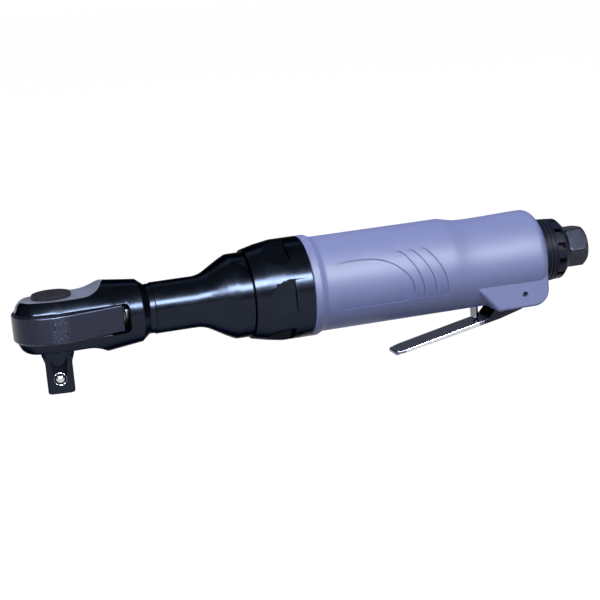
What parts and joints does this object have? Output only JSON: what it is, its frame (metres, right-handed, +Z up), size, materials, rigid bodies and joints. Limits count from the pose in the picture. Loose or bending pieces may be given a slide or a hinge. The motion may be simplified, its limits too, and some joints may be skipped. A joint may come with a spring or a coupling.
{
  "type": "air ratchet",
  "caption": "Pneumatic in-line ratchet wrench: flat slotted head with a square drive and reversing knob, turned neck, clamp nut, composite grip, throttle lever and threaded air inlet.",
  "frame": {"origin": "centre of the square drive's end face", "axes": "+X along the tool from the ratchet head to the air inlet, +Z up, the square drive points down, +Y across the tool"},
  "size_m": [0.2916, 0.0496, 0.0659],
  "materials": {
    "blued_steel": "gloss blue-black",
    "milled_steel": "dark ground",
    "black_steel": "black oxide",
    "ground_steel": "ground",
    "polished_steel": "polished",
    "spring_steel": "drawn",
    "grip_composite": "fine-grained matt",
    "aluminium": "cast",
    "brass": "turned",
    "bronze": "turned",
    "rubber": "matt",
    "black_plastic": "moulded",
    "vane_plastic": "machined",
    "felt": "felted"
  },
  "bodies": {
    "tool_body": {"ratchet_housing": "blued_steel", "anvil_washer": "ground_steel", "anvil_circlip": "black_steel", "crank_front_bearing": "ground_steel", "crank_rear_bearing": "ground_steel", "ring_gear": "ground_steel", "gear_washer": "ground_steel", "clamp_nut": "blued_steel", "clamp_ring": "spring_steel", "front_end_plate": "ground_steel", "front_rotor_bearing": "ground_steel", "cylinder_liner": "ground_steel", "cylinder_dowel": "ground_steel", "rear_end_plate": "ground_steel", "rear_rotor_bearing": "ground_steel", "motor_housing": "aluminium", "grip_sleeve": "grip_composite", "lever_pin": "black_steel", "valve_seat": "brass", "valve_bushing": "brass", "valve_oring": "rubber", "valve_spring": "spring_steel", "inlet_bushing": "black_steel", "inlet_oring": "rubber", "inlet_screen": "brass"},
    "yoke": {"yoke": "milled_steel"},
    "anvil": {"anvil": "blued_steel", "pawl_pin": "ground_steel", "detent_spring": "spring_steel"},
    "pawl": {"pawl": "ground_steel"},
    "reverse_knob": {"reverse_knob": "black_steel", "knob_ring": "spring_steel", "knob_spring": "spring_steel"},
    "knob_plunger": {"knob_plunger": "ground_steel"},
    "detent_ball": {"detent_ball": "polished_steel"},
    "crankshaft": {"crankshaft": "ground_steel", "planet_pins": "ground_steel"},
    "drive_bushing": {"drive_bushing": "bronze"},
    "planet_gear_1": {"planet_gear_1": "ground_steel"},
    "planet_gear_2": {"planet_gear_2": "ground_steel"},
    "planet_gear_3": {"planet_gear_3": "ground_steel"},
    "rotor": {"rotor": "ground_steel", "rotor_vanes": "vane_plastic"},
    "throttle_lever": {"throttle_lever": "polished_steel"},
    "throttle_valve": {"valve_pin": "polished_steel", "throttle_valve": "rubber"},
    "exhaust_deflector": {"exhaust_deflector": "black_plastic", "muffler_ring": "felt"}
  },
  "joints": [
    {"name": "crank_spin", "type": "hinge", "parent": "tool_body", "child": "crankshaft", "pos_m": [0.04, 0, 0.0333], "axis": [1, 0, 0], "continuous": true},
    {"name": "rotor_spin", "type": "hinge", "parent": "tool_body", "child": "rotor", "pos_m": [0.127, 0, 0.0333], "axis": [1, 0, 0], "continuous": true},
    {"name": "planet_spin_1", "type": "hinge", "parent": "crankshaft", "child": "planet_gear_1", "pos_m": [0.087, 0, 0.04275], "axis": [1, 0, 0], "continuous": true},
    {"name": "planet_spin_2", "type": "hinge", "parent": "crankshaft", "child": "planet_gear_2", "pos_m": [0.087, -0.00818, 0.02857], "axis": [1, 0, 0], "continuous": true},
    {"name": "planet_spin_3", "type": "hinge", "parent": "crankshaft", "child": "planet_gear_3", "pos_m": [0.087, 0.00818, 0.02857], "axis": [1, 0, 0], "continuous": true},
    {"name": "bushing_spin", "type": "hinge", "parent": "crankshaft", "child": "drive_bushing", "pos_m": [0.026, 0, 0.0358], "axis": [1, 0, 0], "continuous": true},
    {"name": "yoke_rock", "type": "hinge", "parent": "tool_body", "child": "yoke", "pos_m": [0, 0, 0.0333], "axis": [0, 0, 1], "range_deg": [-5.5, 5.5]},
    {"name": "anvil_spin", "type": "hinge", "parent": "tool_body", "child": "anvil", "pos_m": [0, 0, 0.0333], "axis": [0, 0, 1], "continuous": true},
    {"name": "reverse_turn", "type": "hinge", "parent": "anvil", "child": "reverse_knob", "pos_m": [0, 0, 0.0333], "axis": [0, 0, 1], "range_deg": [0, 60]},
    {"name": "pawl_tilt", "type": "hinge", "parent": "anvil", "child": "pawl", "pos_m": [0.00741, -0.00117, 0.0333], "axis": [0, 0, 1], "range_deg": [0, 16]},
    {"name": "plunger_slide", "type": "slide", "parent": "reverse_knob", "child": "knob_plunger", "axis": [-0.7771, 0.6293, 0], "range_m": [0, 0.0008], "stiffness_N_per_m": 300},
    {"name": "detent_press", "type": "slide", "parent": "anvil", "child": "detent_ball", "axis": [0.1564, 0.9877, 0], "range_m": [0, 0.0009], "stiffness_N_per_m": 800},
    {"name": "lever_press", "type": "hinge", "parent": "tool_body", "child": "throttle_lever", "pos_m": [0.2311, 0, 0.0166], "axis": [0, 1, 0], "range_deg": [0, 10], "stiffness_Nm_per_rad": 2},
    {"name": "valve_slide", "type": "slide", "parent": "tool_body", "child": "throttle_valve", "axis": [0, 0, 1], "range_m": [0, 0.0037], "deforming": ["valve_spring"]},
    {"name": "deflector_turn", "type": "hinge", "parent": "tool_body", "child": "exhaust_deflector", "pos_m": [0.252, 0, 0.0333], "axis": [1, 0, 0], "continuous": true}
  ],
  "couplings": [
    {"joint": "rotor_spin", "follows": "crank_spin", "ratio": 4.5},
    {"joint": "planet_spin_1", "follows": "crank_spin", "ratio": -2.8},
    {"joint": "planet_spin_2", "follows": "crank_spin", "ratio": -2.8},
    {"joint": "planet_spin_3", "follows": "crank_spin", "ratio": -2.8},
    {"joint": "bushing_spin", "follows": "crank_spin", "ratio": -1},
    {"joint": "pawl_tilt", "follows": "reverse_turn", "ratio": 0.26667},
    {"joint": "valve_slide", "follows": "lever_press", "m_per_rad": 0.0212}
  ]
}
